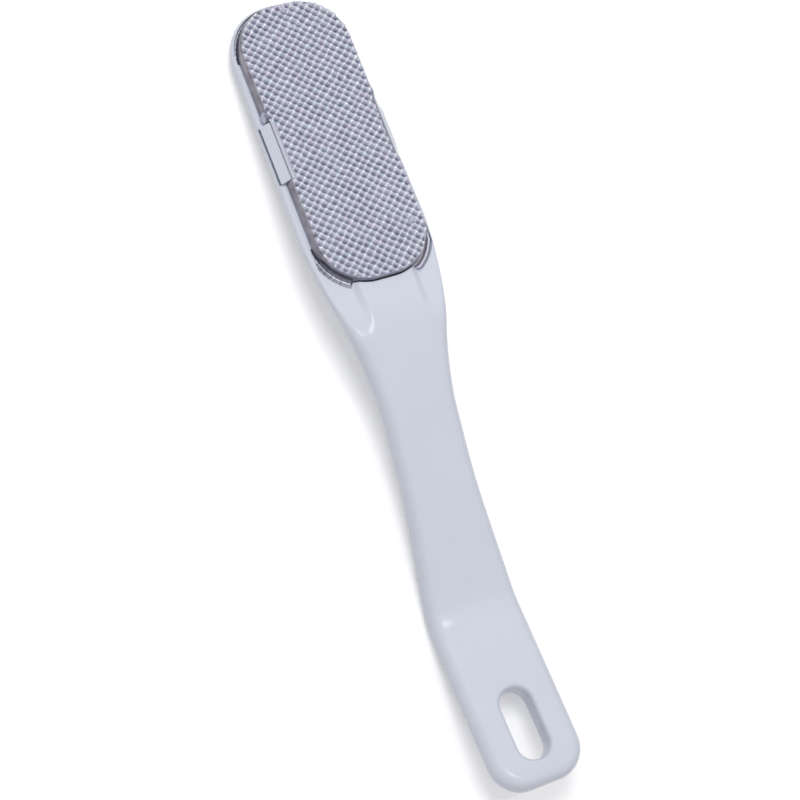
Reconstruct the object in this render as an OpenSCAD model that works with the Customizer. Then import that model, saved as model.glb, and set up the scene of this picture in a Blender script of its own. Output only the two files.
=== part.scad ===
// Foot file: a stamped steel rasp pan held on one moulded plastic handle.
// It lies as on a table, teeth up, on the tip of its head and on the bend of its handle.
// The parts are drawn level with the rasp face first: X across, Y towards the tip,
// Z = 0 on the face of the sheet. The module rest_pose() then sets them on the table.

/* [Rasp pan] */
// Width of the pan over its side walls
pan_w = 35.4; // [30:0.2:36]
// Length of the pan over its end walls
pan_l = 90; // [80:1:94]
// Radius of the pan's corners, seen from above
pan_corner_r = 14.9; // [10:0.1:15]
// Height of the pan from its foot to its face
pan_h = 5.2; // [4.6:0.1:6]
// Thickness of the steel sheet
sheet_t = 0.5; // [0.4:0.05:0.7]
// Radius of the bend between face and wall
pan_edge_r = 0.9; // [0.7:0.05:1.2]
// How far each wall leans out from its top to its foot
wall_lean = 0.3; // [0.2:0.05:0.6]
// Width of the flange left at each corner of the pan
flange_w = 1.8; // [1.2:0.1:1.9]

/* [Teeth] */
// Distance between teeth in one row across the face
tooth_pitch_x = 3.0; // [2.6:0.1:4]
// Distance between rows that stand in line along the face
tooth_pitch_y = 2.75; // [2.4:0.05:4]
// Height of the teeth above the sheet
tooth_h = 0.85; // [0.6:0.05:1.1]
// Flat left on the crest of each tooth
crest_w = 0.24; // [0.15:0.01:0.35]
// Plain border between the teeth and the bend of the sheet
tooth_margin = 0.35; // [0.2:0.05:0.8]

/* [Side catches] */
// Length of each catch along the side of the head
catch_l = 18.6; // [12:0.2:24]
// Depth of the top of a catch below the rasp face
catch_drop = 1.3; // [1:0.1:2]
// Plain strip of sheet beside a catch
catch_strip = 1.2; // [0.8:0.1:2]

/* [Head of the handle] */
// Plastic border outside the foot of the side walls
border_w = 1.4; // [1.2:0.1:3]
// Radius of the head's corners, seen from above
head_corner_r = 16.5; // [12:0.5:17]
// Height of the border above the foot of the pan
border_h = 1.2; // [0.8:0.1:1.6]
// Thickness of plastic under the foot of the pan
floor_t = 4.2; // [3:0.1:5]
// Width of the raised tongue that runs up to the pan
tongue_w = 19; // [14:0.5:22]
// Depth of the tongue's top below the rasp face
tongue_drop = 2; // [1.6:0.1:2.6]
// Thickness of the ribs under the sheet
rib_t = 1.2; // [0.8:0.1:2]
// Number of ribs across the head
cross_ribs = 7; // [3:1:9]

/* [Handle] */
// Width of the handle at its waist
waist_w = 23.2; // [18:0.2:26]
// Width of the grip
grip_w = 29.6; // [26:0.2:34]
// Thickness of the handle
handle_t = 7.7; // [6.8:0.1:9]
// Distance from the pan's handle end to the waist
waist_gap = 46.5; // [40:0.5:52]
// Length of the sloping middle of the handle
slope_l = 82.5; // [70:0.5:95]
// Length of the straight grip beyond the bend
grip_l = 50.8; // [47:0.2:70]
// Angle at which the middle drops from the head
slope_angle = 18.5; // [12:0.5:24]
// Angle at which the grip turns back up
grip_angle = 5.8; // [0:0.1:8]
// Radius of the bend below the neck
neck_r = 45; // [30:1:60]
// Radius of the bend above the grip
bend_r = 20; // [14:1:30]
// Radius of the handle's lower edges
lower_edge_r = 3.1; // [2:0.1:3.2]
// Radius of the handle's upper edges
upper_edge_r = 3.6; // [2:0.1:4.4]
// Radius of the corners at the end of the grip
end_corner_r = 10; // [6:0.5:13]

/* [Hanging slot] */
// Width of the slot
slot_w = 10.2; // [8:0.2:12]
// Length of the slot
slot_l = 21.8; // [16:0.2:24]
// Distance from the slot's middle to the end of the grip
slot_gap = 18.3; // [16.5:0.1:20]
// Radius of the slot's rounded edges
slot_edge_r = 1.6; // [0.5:0.1:1.8]

/* [Hidden] */
$fn = 96;
// Overrun of every cut past the solid that it leaves
overrun = 1;
// Clearance between the pan and the plastic round it
fit_gap = 0.25;

// Levels of the head, down from the rasp face
deck_z = -pan_h;
back_z = deck_z - floor_t;
border_z = deck_z + border_h;
tongue_z = -tongue_drop;
mid_z = tongue_z - handle_t / 2;

// Foot of the pan's walls, where they stand on the deck
foot_w = pan_w + 2 * wall_lean;
foot_l = pan_l + 2 * wall_lean;
foot_r = pan_corner_r + wall_lean;

// Outline of the head, with a wider border round the tip and a slight flare to the neck
tip_border = 1.6;
neck_flare = 1;
head_w = foot_w + 2 * border_w;
tip_y = foot_l / 2 + tip_border;
border_edge_r = 1;
flare_l = 19.5;

// The middle line of the handle: distance runs from the pan's end wall to the grip
neck_y = -foot_l / 2 - fit_gap;
tip_s = neck_y - tip_y;
neck_end_s = neck_r * slope_angle * PI / 180;
bend_start_s = neck_end_s + slope_l;
bend_end_s = bend_start_s + bend_r * (slope_angle + grip_angle) * PI / 180;
end_s = bend_end_s + grip_l;
slot_s = end_s - slot_gap;

// Lengths along the handle over which its width and edges change
waist_run = 8;
waist_lead = 4.5;
swell_run = 5;
tongue_fade_l = 16;
tongue_reach = 5;
tongue_sink = 0.8;
edge_blend_l = 24;
crown_h = 0.4;
crown_order = 4;
ridge_run = 3;
ridge_foot_share = 0.86;
ridge_crest_share = 0.76;
probe_share = 0.01;

// Steps of the handle's surface
corner_steps = 8;
edge_steps = 4;
flare_steps = 4;
neck_steps = 4;
slope_steps = 12;
bend_steps = 6;
grip_steps = 4;

// Pitch and turn of the crossed ridges that leave the teeth
ridge_pitch = tooth_pitch_x * tooth_pitch_y / norm([tooth_pitch_x, tooth_pitch_y]);
ridge_turn = atan2(tooth_pitch_y, tooth_pitch_x);
root_h = 0.06;
field_w = pan_w - 2 * pan_edge_r - 2 * tooth_margin;
field_l = pan_l - 2 * pan_edge_r - 2 * tooth_margin;
field_r = pan_corner_r - pan_edge_r - tooth_margin;
notch_l = catch_l + 2 * fit_gap;
notch_x = pan_w / 2 - pan_edge_r;

// Corner flanges: narrow at the long wall, and how far each runs round its corner
flange_start_w = 0.4;
tip_flange_w = 0.8;
tongue_clear = 0.6;
corner_x = foot_w / 2 - foot_r;
tip_flange_turn = 82;
pocket_turn = atan(fit_gap / foot_r);
neck_flange_turn = acos((tongue_w / 2 + tongue_clear - corner_x) / foot_r);

// Catches and ribs
catch_inset = 0.8;
catch_toe = 1.6;
catch_top_w = 0.4;
rib_gap = 1.2;
slot_edge_sink = 0.1;
long_rib_x = 6;

function ease(t) = let (u = min(max(t, 0), 1)) u * u * (3 - 2 * u);
function mix(a, b, t) = a + (b - a) * t;

// Drop angle, run and drop of the middle line
function drop_angle(s) =
    s < 0 ? 0 :
    s < neck_end_s ? s / neck_r * 180 / PI :
    s < bend_start_s ? slope_angle :
    s < bend_end_s ? slope_angle - (s - bend_start_s) / bend_r * 180 / PI :
    -grip_angle;
function run(s) =
    let (a = drop_angle(s), slope_run = neck_r * sin(slope_angle))
    s < 0 ? s :
    s < neck_end_s ? neck_r * sin(a) :
    s < bend_start_s ? slope_run + (s - neck_end_s) * cos(a) :
    slope_run + slope_l * cos(slope_angle) + bend_r * (sin(slope_angle) - sin(a))
        + max(s - bend_end_s, 0) * cos(a);
function drop(s) =
    let (a = drop_angle(s), slope_drop = neck_r * (1 - cos(slope_angle)))
    s < 0 ? 0 :
    s < neck_end_s ? neck_r * (1 - cos(a)) :
    s < bend_start_s ? slope_drop + (s - neck_end_s) * sin(a) :
    slope_drop + slope_l * sin(slope_angle) + bend_r * (cos(a) - cos(slope_angle))
        + max(s - bend_end_s, 0) * sin(a);

// A point beside and above the middle line
function place(x, s, up) =
    let (a = drop_angle(s))
    [x, neck_y - run(s) - up * sin(a), mid_z - drop(s) + up * cos(a)];

// Half the width of the handle along its middle line
waist_end_s = waist_gap + waist_run;
straight_s = tip_s + head_corner_r;
function head_width(s) = head_w + 2 * neck_flare * max(1 - max(s, straight_s) / straight_s, 0);
function half_width(s) =
    s < waist_end_s
        ? mix(head_width(min(s, 0)), waist_w, ease((s + flare_l) / (waist_gap - waist_lead + flare_l))) / 2
        : mix(waist_w, grip_w, ease((s - waist_end_s) / (bend_end_s + swell_run - waist_end_s))) / 2;

// Heights of the surfaces above and below the middle line
function lower_at(s) = mix(mid_z - back_z, handle_t / 2, ease(s / edge_blend_l));
function side_up_at(s) = mix(border_z - mid_z, handle_t / 2, ease(s / tongue_fade_l));
function tongue_up_at(s) = s < -tongue_reach ? border_z - mid_z : handle_t / 2;
function edge_r_at(s) = mix(border_edge_r, upper_edge_r, ease(s / edge_blend_l));
function crown_at(s) = crown_h * ease(s / edge_blend_l);

// Stations round one side of the outline: across, along, and the outward direction
function side_station(s) =
    let (
        step = slope_l * probe_share,
        d = (half_width(s + step) - half_width(s - step)) / (2 * step))
    [half_width(s), s, 1 / norm([1, d]), -d / norm([1, d])];
function tip_stations() = [
    for (i = [0 : corner_steps])
        let (t = 90 * i / corner_steps)
        [head_w / 2 - head_corner_r * (1 - sin(t)), tip_s + head_corner_r * (1 - cos(t)),
         sin(t), -cos(t)]];
function end_stations() = [
    for (i = [corner_steps : -1 : 0])
        let (t = 90 * i / corner_steps)
        [grip_w / 2 - end_corner_r * (1 - sin(t)), end_s - end_corner_r * (1 - cos(t)),
         sin(t), cos(t)]];
function spread(from, to, steps) = [for (i = [1 : steps]) from + (to - from) * i / steps];
stations = concat(
    tip_stations(),
    [for (s = concat(
        [-flare_l],
        spread(-flare_l, -tongue_reach, flare_steps),
        spread(-tongue_reach, -tongue_sink, 2),
        spread(0, neck_end_s, neck_steps),
        spread(neck_end_s, bend_start_s, slope_steps),
        spread(bend_start_s, bend_end_s, bend_steps),
        spread(bend_end_s, end_s - end_corner_r, grip_steps + 1)))
        if (s < end_s - end_corner_r) side_station(s)],
    end_stations());

// The ring of points round the handle at one station, from the lower right over the top
function right_side(st) =
    let (
        s = st[1], low = lower_at(s), high = side_up_at(s), er = edge_r_at(s),
        top_x = st[0] - st[2] * er, top_s = s - st[3] * er,
        foot_x = min(tongue_w / 2 + ridge_run / 2, top_x * ridge_foot_share),
        crest_x = min(tongue_w / 2 - ridge_run / 2, top_x * ridge_crest_share),
        mound = tongue_up_at(s), crown = crown_at(s))
    concat(
        [for (i = [0 : edge_steps])
            let (t = 90 * i / edge_steps, in = lower_edge_r * (1 - sin(t)))
            place(st[0] - st[2] * in, s - st[3] * in, -low + lower_edge_r * (1 - cos(t)))],
        [for (i = [0 : edge_steps])
            let (t = 90 * i / edge_steps, in = er * (1 - cos(t)))
            place(st[0] - st[2] * in, s - st[3] * in, high - er * (1 - sin(t)))],
        [for (c = [[foot_x, high], [crest_x, mound], [crest_x / 2, mound]])
            place(c[0], top_s, c[1] + crown * (1 - pow(c[0] / top_x, crown_order)))]);
function ring(st) =
    let (half = right_side(st), er = edge_r_at(st[1]))
    concat(
        half,
        [place(0, st[1] - st[3] * er, tongue_up_at(st[1]) + crown_at(st[1]))],
        [for (i = [len(half) - 1 : -1 : 0]) [-half[i][0], half[i][1], half[i][2]]]);
rings = [for (st = stations) ring(st)];
ring_n = len(rings[0]);
edge_n = 2 * (edge_steps + 1);

// Skin between the rings, and the rounded walls that close the two ends
function end_faces(base) = concat(
    [for (k = [0 : edge_n - 3])
        each [[base + k, base + k + 1, base + ring_n - 2 - k],
              [base + k, base + ring_n - 2 - k, base + ring_n - 1 - k]]],
    [for (k = [edge_n - 1 : ring_n - edge_n]) [base + edge_n - 2, base + k, base + k + 1]]);
function turned(faces) = [for (f = faces) [f[2], f[1], f[0]]];
skin = [
    for (i = [0 : len(rings) - 2], k = [0 : ring_n - 1])
        let (a = i * ring_n + k, b = i * ring_n + (k + 1) % ring_n)
        each [[a, b + ring_n, b], [a, a + ring_n, b + ring_n]]];
module handle_form() {
    polyhedron(
        points = [for (r = rings) each r],
        faces = concat(skin, end_faces(0), turned(end_faces((len(rings) - 1) * ring_n))));
}

// A flat plate with round corners
module plate(w, l, r, low, high) {
    translate([0, 0, low])
        linear_extrude(high - low) {
            square([w - 2 * r, l], center = true);
            square([w, l - 2 * r], center = true);
            for (x = [-1, 1], y = [-1, 1])
                translate([x * (w / 2 - r), y * (l / 2 - r)]) circle(r);
        }
}

// Half the outline of a pan across its wall: leaning wall, round bend and flat face
module wall_profile(half, low, high, bend, lean) {
    polygon([[0, low], [half + lean, low], [half, high - bend], [0, high - bend]]);
    translate([0, high - bend]) square([half - bend, bend]);
    intersection() {
        translate([half - bend, high - bend]) circle(bend);
        translate([half - bend, high - bend]) square(bend);
    }
}

// A solid block with the pan's outline, built from straight sides and turned corners
module pan_block(w, l, r, low, high, bend, lean) {
    translate([0, l / 2 - r, 0])
        rotate([90, 0, 0])
            linear_extrude(l - 2 * r) {
                wall_profile(w / 2, low, high, bend, lean);
                mirror([1, 0]) wall_profile(w / 2, low, high, bend, lean);
            }
    for (turn = [90, 270])
        rotate([0, 0, turn])
            translate([l / 2 - r, w / 2 - r, 0])
                rotate([90, 0, 0])
                    linear_extrude(w - 2 * r) wall_profile(r, low, high, bend, lean);
    for (x = [-1, 1], y = [-1, 1])
        translate([x * (w / 2 - r), y * (l / 2 - r), 0])
            rotate([0, 0, x > 0 ? (y > 0 ? 0 : 270) : (y > 0 ? 90 : 180)])
                rotate_extrude(angle = 90) wall_profile(r, low, high, bend, lean);
}

// Parallel ridges with a saw-tooth outline
module ridges() {
    n = ceil(norm([pan_w, pan_l]) / 2 / ridge_pitch) + 1;
    reach = (n + 1) * ridge_pitch;
    saw = concat(
        [[reach, -sheet_t / 2], [-reach, -sheet_t / 2], [-reach, root_h]],
        [for (i = [-n : n])
            each [[i * ridge_pitch - ridge_pitch / 2, root_h],
                  [i * ridge_pitch - crest_w / 2, tooth_h],
                  [i * ridge_pitch + crest_w / 2, tooth_h]]],
        [[reach - ridge_pitch / 2, root_h], [reach, root_h]]);
    translate([0, reach, 0]) rotate([90, 0, 0]) linear_extrude(2 * reach) polygon(saw);
}

// Teeth left where two sets of ridges cross
module teeth() {
    difference() {
        intersection() {
            rotate([0, 0, 90 + ridge_turn]) ridges();
            rotate([0, 0, 90 - ridge_turn]) ridges();
            plate(field_w, field_l, field_r, -sheet_t, tooth_h + overrun);
        }
        for (x = [-1, 1])
            translate([x * notch_x, 0, 0])
                cube([2 * catch_strip, notch_l, 4 * tooth_h], center = true);
    }
}

// Part of a flat ring round a corner of the pan's foot, cut straight beside the long wall
module corner_ring(turn, width, start_w, high) {
    intersection() {
        rotate_extrude(angle = turn)
            translate([foot_r - sheet_t, deck_z]) square([sheet_t + width, high]);
        translate([0, 0, deck_z - overrun])
            cube([foot_r + start_w, foot_r + width + overrun, high + 2 * overrun]);
    }
}

// One flange at the foot of the pan
module flange(turn, width) {
    corner_ring(turn, width, flange_start_w, sheet_t);
}

// Space for a flange in the border, open to the top
module flange_pocket(turn, width) {
    corner_ring(turn, width + fit_gap, flange_start_w + fit_gap, pan_h + overrun);
}

// Puts its children at the four corners of the pan's foot
module at_corner(x, y) {
    mirror([x < 0 ? 1 : 0, 0, 0])
        mirror([0, y < 0 ? 1 : 0, 0])
            translate([corner_x, foot_l / 2 - foot_r, 0]) children();
}

// Stamped steel pan with crossed teeth, notched sides and corner flanges
module rasp_pan() {
    color([0.74, 0.75, 0.80]) {
        difference() {
            pan_block(pan_w, pan_l, pan_corner_r, deck_z, 0, pan_edge_r, wall_lean);
            pan_block(pan_w - 2 * sheet_t, pan_l - 2 * sheet_t, pan_corner_r - sheet_t,
                      deck_z - overrun, -sheet_t, pan_edge_r - sheet_t,
                      wall_lean * (pan_h + overrun - pan_edge_r) / (pan_h - pan_edge_r));
            for (x = [-1, 1])
                translate([x * (notch_x + pan_w / 2), 0, 0])
                    cube([pan_w, notch_l, 3 * pan_h], center = true);
        }
        teeth();
        for (x = [-1, 1]) {
            at_corner(x, 1) flange(tip_flange_turn, tip_flange_w);
            at_corner(x, -1) flange(neck_flange_turn, flange_w);
        }
    }
}

// Ribs that stand on the deck and carry the sheet
module ribs() {
    inner_w = pan_w - 2 * sheet_t - 2 * rib_gap;
    inner_l = pan_l - 2 * sheet_t - 2 * rib_gap;
    intersection() {
        plate(inner_w, inner_l, pan_corner_r - sheet_t - rib_gap, deck_z - floor_t / 2, -sheet_t);
        union() {
            for (i = [1 : cross_ribs])
                translate([0, inner_l * (i / (cross_ribs + 1) - 0.5), 0])
                    cube([pan_w, rib_t, 4 * pan_h], center = true);
            for (x = [-1, 1])
                translate([x * long_rib_x, 0, 0]) cube([rib_t, pan_l, 4 * pan_h], center = true);
        }
    }
}

// Catch that stands in the notch of the pan's side wall, with a sloping lead-in
module side_catch() {
    inner_x = notch_x + fit_gap;
    outer_x = head_w / 2 - catch_inset;
    translate([0, catch_l / 2, 0])
        rotate([90, 0, 0])
            linear_extrude(catch_l)
                polygon([
                    [inner_x, deck_z - floor_t / 2],
                    [outer_x, deck_z - floor_t / 2],
                    [outer_x, border_z + catch_toe],
                    [inner_x + catch_top_w, -catch_drop],
                    [inner_x, -catch_drop]]);
}

// Half the outline of the slot across the grip, with a round edge at each face
module slot_profile() {
    low = slot_edge_r - slot_edge_sink - handle_t / 2;
    high = handle_t / 2 + crown_h + slot_edge_sink - slot_edge_r;
    difference() {
        translate([0, -handle_t]) square([slot_w / 2 + slot_edge_r, 2 * handle_t]);
        for (z = [low, high]) translate([slot_w / 2 + slot_edge_r, z]) circle(slot_edge_r);
        translate([slot_w / 2, low]) square([2 * slot_edge_r, high - low]);
    }
}

// The hanging slot, straight through the grip
module slot_cut() {
    straight = slot_l - slot_w;
    translate([0, neck_y - run(slot_s), mid_z - drop(slot_s)])
        rotate([-grip_angle, 0, 0]) {
            translate([0, straight / 2, 0])
                rotate([90, 0, 0])
                    linear_extrude(straight) {
                        slot_profile();
                        mirror([1, 0]) slot_profile();
                    }
            for (y = [-1, 1])
                translate([0, y * straight / 2, 0])
                    rotate([0, 0, y > 0 ? 0 : 180]) rotate_extrude(angle = 180) slot_profile();
        }
}

// Moulded head, neck and grip in one piece
module handle() {
    color([0.90, 0.92, 0.96]) {
        difference() {
            handle_form();
            plate(foot_w + 2 * fit_gap, foot_l + 2 * fit_gap, foot_r + fit_gap,
                  deck_z, pan_h + overrun);
            for (x = [-1, 1]) {
                at_corner(x, 1) flange_pocket(tip_flange_turn + pocket_turn, tip_flange_w);
                at_corner(x, -1) flange_pocket(neck_flange_turn + pocket_turn, flange_w);
            }
            slot_cut();
        }
        ribs();
        side_catch();
        mirror([1, 0, 0]) side_catch();
    }
}

// The table touches the round lower edge of the tip and the underside of the bend
tip_touch = [tip_y - lower_edge_r, back_z + lower_edge_r];
bend_touch = [
    neck_y - run(bend_start_s) - bend_r * sin(slope_angle),
    mid_z - drop(bend_start_s) + bend_r * cos(slope_angle)];
touch_gap = tip_touch - bend_touch;
rest_turn = asin((lower_edge_r - bend_r - handle_t / 2) / norm(touch_gap))
    - atan2(touch_gap[1], touch_gap[0]);
function rest_y(p) = p[0] * cos(rest_turn) - p[1] * sin(rest_turn);
function rest_z(p) = p[0] * sin(rest_turn) + p[1] * cos(rest_turn);
tip_edge = [tip_y - border_edge_r, border_z - border_edge_r];
end_edge = let (p = place(0, end_s - lower_edge_r, lower_edge_r - handle_t / 2)) [p[1], p[2]];
rest_mid_y = (rest_y(tip_edge) + border_edge_r + rest_y(end_edge) - lower_edge_r) / 2;

// Turns the level parts into the way the file lies on a table
module rest_pose() {
    translate([0, -rest_mid_y, lower_edge_r - rest_z(tip_touch)])
        rotate([rest_turn, 0, 0]) children();
}

rest_pose() handle();
rest_pose() rasp_pan();
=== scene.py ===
"""Looks of the foot file: a moulded plastic handle and a stamped steel rasp pan.

Both pieces are built at full detail from the driving dimensions of the CAD model.
Lengths are in millimetres and are turned into metres where an object is made.
The pieces are drawn level with the rasp face first: X across, Y towards the tip, Z = 0
on the face of the sheet. rest_pose() then sets them on the table as the CAD model lies.
s is a distance along the handle's middle line, zero at the pan's end wall.
"""

import math

import bpy
import numpy as np
from mathutils import Matrix, Vector


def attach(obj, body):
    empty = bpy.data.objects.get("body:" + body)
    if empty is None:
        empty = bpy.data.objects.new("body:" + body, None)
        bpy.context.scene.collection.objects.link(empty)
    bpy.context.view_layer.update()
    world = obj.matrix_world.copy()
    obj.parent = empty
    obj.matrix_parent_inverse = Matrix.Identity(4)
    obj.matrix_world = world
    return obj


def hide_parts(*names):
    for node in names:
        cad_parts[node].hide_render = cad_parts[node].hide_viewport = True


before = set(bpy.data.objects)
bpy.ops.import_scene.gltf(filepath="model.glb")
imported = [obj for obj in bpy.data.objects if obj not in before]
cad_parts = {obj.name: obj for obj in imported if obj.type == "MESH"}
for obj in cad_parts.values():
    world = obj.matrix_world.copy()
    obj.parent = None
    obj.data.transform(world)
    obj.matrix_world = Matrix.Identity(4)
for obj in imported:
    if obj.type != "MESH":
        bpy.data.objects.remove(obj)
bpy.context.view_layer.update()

MM = 0.001
SEED = 7
FIT_GAP = 0.25

# Rasp pan
PAN_W = 35.4
PAN_L = 90.0
PAN_CORNER_R = 14.9
PAN_H = 5.2
SHEET_T = 0.5
PAN_EDGE_R = 0.9
WALL_LEAN = 0.3
CATCH_L = 18.6

# Flanges at the foot of the pan's corners; the one on the right of the neck curls up
FLANGE_W = 1.8
FLANGE_START_W = 0.4
TIP_FLANGE_W = 0.8
TIP_FLANGE_TURN = math.radians(82)
CURL_W = 2.5
CURL_START_W = 1.1

# Head of the handle
BORDER_W = 1.4
TIP_BORDER = 1.6
BORDER_H = 1.2
BORDER_EDGE_R = 1.0
HEAD_CORNER_R = 16.5
NECK_FLARE = 1.0
FLOOR_T = 4.2

# Tongue that rises to the pan, with a ridge along each side
TONGUE_W = 19.0
TONGUE_DROP = 2.0
TONGUE_CLEAR = 0.6
TONGUE_REACH = 5.0
TONGUE_FADE_L = 16.0
RIDGE_RUN = 3.0
RIDGE_FOOT_SHARE = 0.86
RIDGE_CREST_SHARE = 0.76

# Handle
WAIST_W = 23.2
GRIP_W = 29.6
HANDLE_T = 7.7
FLARE_L = 19.5
WAIST_GAP = 46.5
WAIST_LEAD = 4.5
WAIST_L = 8.0
SLOPE_L = 82.5
SLOPE_ANGLE = math.radians(18.5)
NECK_R = 45.0
BEND_R = 20.0
BEND_FILL_H = 0.2
BEND_FILL_L = 9.0
SWELL_RUN = 5.0
GRIP_L = 50.8
GRIP_ANGLE = math.radians(5.8)
END_CORNER_R = 10.0
LOWER_EDGE_R = 3.1
UPPER_EDGE_R = 3.6
EDGE_BLEND_L = 24.0
CROWN_H = 0.4
CROWN_ORDER = 4
SLOT_W = 10.2
SLOT_L = 21.8
SLOT_GAP = 18.3
SLOT_EDGE_R = 1.6

# Levels and outlines that follow from them
DECK_Z = -PAN_H
BACK_Z = DECK_Z - FLOOR_T
BORDER_Z = DECK_Z + BORDER_H
MID_Z = -TONGUE_DROP - HANDLE_T / 2
FOOT_W = PAN_W + 2 * WALL_LEAN
FOOT_L = PAN_L + 2 * WALL_LEAN
FOOT_R = PAN_CORNER_R + WALL_LEAN
CORNER_X = FOOT_W / 2 - FOOT_R
HEAD_W = FOOT_W + 2 * BORDER_W
TIP_Y = FOOT_L / 2 + TIP_BORDER
NOTCH_L = CATCH_L + 2 * FIT_GAP
NOTCH_X = PAN_W / 2 - PAN_EDGE_R
NECK_FLANGE_TURN = math.acos((TONGUE_W / 2 + TONGUE_CLEAR - CORNER_X) / FOOT_R)

# Places along the handle's middle line
NECK_Y = -FOOT_L / 2 - FIT_GAP
TIP_S = NECK_Y - TIP_Y
NECK_END_S = NECK_R * SLOPE_ANGLE
BEND_START_S = NECK_END_S + SLOPE_L
BEND_END_S = BEND_START_S + BEND_R * (SLOPE_ANGLE + GRIP_ANGLE)
END_S = BEND_END_S + GRIP_L
SLOT_S = END_S - SLOT_GAP
WAIST_END_S = WAIST_GAP + WAIST_L

# Fineness of the meshes
FACE_STEP = 0.2
ACROSS_STEP = 0.35
ALONG_STEP = 1.0
NECK_STEP = 0.4
ARC_STEPS = 8
CORNER_STEPS = 3 * ARC_STEPS


def ease(t):
    """A smooth step from 0 to 1 as t goes from 0 to 1."""
    t = np.clip(t, 0, 1)
    return t * t * (3 - 2 * t)


def mix(a, b, t):
    """The value that lies the share t of the way from a to b."""
    return a + (b - a) * t


def quarter_round(radius, steps):
    """Pairs of distances from the two sides of a round edge, from (radius, 0) to (0, radius)."""
    turns = np.linspace(0, math.pi / 2, steps + 1)
    return [(radius * (1 - math.sin(turn)), radius * (1 - math.cos(turn))) for turn in turns]


# Meshes: a closed skin is a top grid, rings round its edge, and a bottom grid

def loop_of(rows, columns):
    """Row and column of each point round the edge of a grid: right, last row, left, first row."""
    right = [(j, columns - 1) for j in range(rows)]
    last = [(rows - 1, k) for k in range(columns - 2, 0, -1)]
    left = [(j, 0) for j in range(rows - 1, -1, -1)]
    first = [(0, k) for k in range(1, columns - 1)]
    return np.array(right + last + left + first)


def grid_quads(base, rows, columns, flip):
    """Faces of a grid of points whose first number is base."""
    ids = base + np.arange(rows * columns).reshape(rows, columns)
    quads = np.stack([ids[:-1, :-1], ids[1:, :-1], ids[1:, 1:], ids[:-1, 1:]], -1).reshape(-1, 4)
    return quads[:, ::-1] if flip else quads


def closed_skin(top, rings, bottom):
    """Points and faces of a closed solid. bottom is a grid, or None where one flat face closes it."""
    rows, columns = top.shape[:2]
    loop = loop_of(rows, columns)
    count = len(loop)
    points = [top.reshape(-1, 3)]
    faces = [grid_quads(0, rows, columns, False)]
    bands = [loop[:, 0] * columns + loop[:, 1]]
    used = rows * columns
    for ring in rings:
        points.append(ring)
        bands.append(used + np.arange(count))
        used += count
    if bottom is not None:
        points.append(bottom.reshape(-1, 3))
        faces.append(grid_quads(used, rows, columns, True))
        bands.append(used + loop[:, 0] * columns + loop[:, 1])
    for upper, lower in zip(bands, bands[1:]):
        faces.append(np.stack([upper, np.roll(upper, -1), np.roll(lower, -1), lower], -1))
    caps = [] if bottom is not None else [bands[-1][::-1].tolist()]
    return np.concatenate(points), np.concatenate(faces).tolist() + caps


def rest_pose(points):
    """Turns level points into the way the file lies: on its tip and on the bend of its handle."""
    tip = np.array([TIP_Y - LOWER_EDGE_R, BACK_Z + LOWER_EDGE_R])
    normal = np.array([-math.sin(SLOPE_ANGLE), math.cos(SLOPE_ANGLE)])
    bend = handle_point(0.0, BEND_START_S, -HANDLE_T / 2)[1:] + normal * (HANDLE_T / 2 + BEND_R)
    gap = tip - bend
    turn = math.asin((LOWER_EDGE_R - BEND_R - HANDLE_T / 2) / math.hypot(*gap)) - math.atan2(gap[1], gap[0])
    spin = np.array([[math.cos(turn), -math.sin(turn)], [math.sin(turn), math.cos(turn)]])
    end = handle_point(0.0, END_S - LOWER_EDGE_R, LOWER_EDGE_R - HANDLE_T / 2)[1:]
    edge = spin @ [TIP_Y - BORDER_EDGE_R, BORDER_Z - BORDER_EDGE_R]
    middle = (edge[0] + BORDER_EDGE_R + (spin @ end)[0] - LOWER_EDGE_R) / 2
    lift = LOWER_EDGE_R - (spin @ tip)[1]
    turned = points[:, 1:] @ spin.T + [-middle, lift]
    return np.column_stack([points[:, 0], turned])


def place_object(name, data):
    """A new object in the scene for a mesh, a lamp or a camera."""
    made = bpy.data.objects.new(name, data)
    bpy.context.scene.collection.objects.link(made)
    return made


def mesh_object(name, points, faces):
    """A new object, at rest on the table, for a solid that is drawn level."""
    mesh = bpy.data.meshes.new(name)
    mesh.from_pydata((rest_pose(points) * MM).tolist(), [], faces)
    mesh.validate()
    return place_object(name, mesh)


def smooth(piece, sharp_angle):
    """Smooth shading, with an edge where the faces turn by more than the angle."""
    piece.data.shade_smooth()
    piece.data.set_sharp_from_angle(angle=sharp_angle)


def plan_rows(width, length, radius, straight_step, arc_steps):
    """Rows of a plate with round corners, from the tip down: half width, along, outward direction."""
    turns = np.linspace(math.pi / 2, 0, arc_steps + 1)
    out_x, out_y = np.cos(turns), np.sin(turns)
    half, reach = width / 2 - radius, length / 2 - radius
    corner = np.column_stack([half + radius * out_x, reach + radius * out_y, out_x, out_y])
    inner = np.linspace(reach, -reach, max(2, round(2 * reach / straight_step)) + 1)[1:-1]
    ones = np.ones(len(inner))
    side = np.column_stack([width / 2 * ones, inner, ones, 0 * ones])
    return np.concatenate([corner, side, (corner * [1, -1, 1, -1])[::-1]])


def plan_loop(rows, columns):
    """Points and outward directions round the plan, in the order of loop_of()."""
    loop = loop_of(len(rows), columns)
    share = 2 * loop[:, 1] / (columns - 1) - 1
    half, along, out_x, out_y = rows[loop[:, 0]].T
    at_side = np.abs(share) == 1
    outward_x = np.where(at_side, share * out_x, 0)
    outward_y = np.where(at_side, out_y, np.sign(out_y))
    return np.column_stack([share * half, along]), np.column_stack([outward_x, outward_y])


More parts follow.
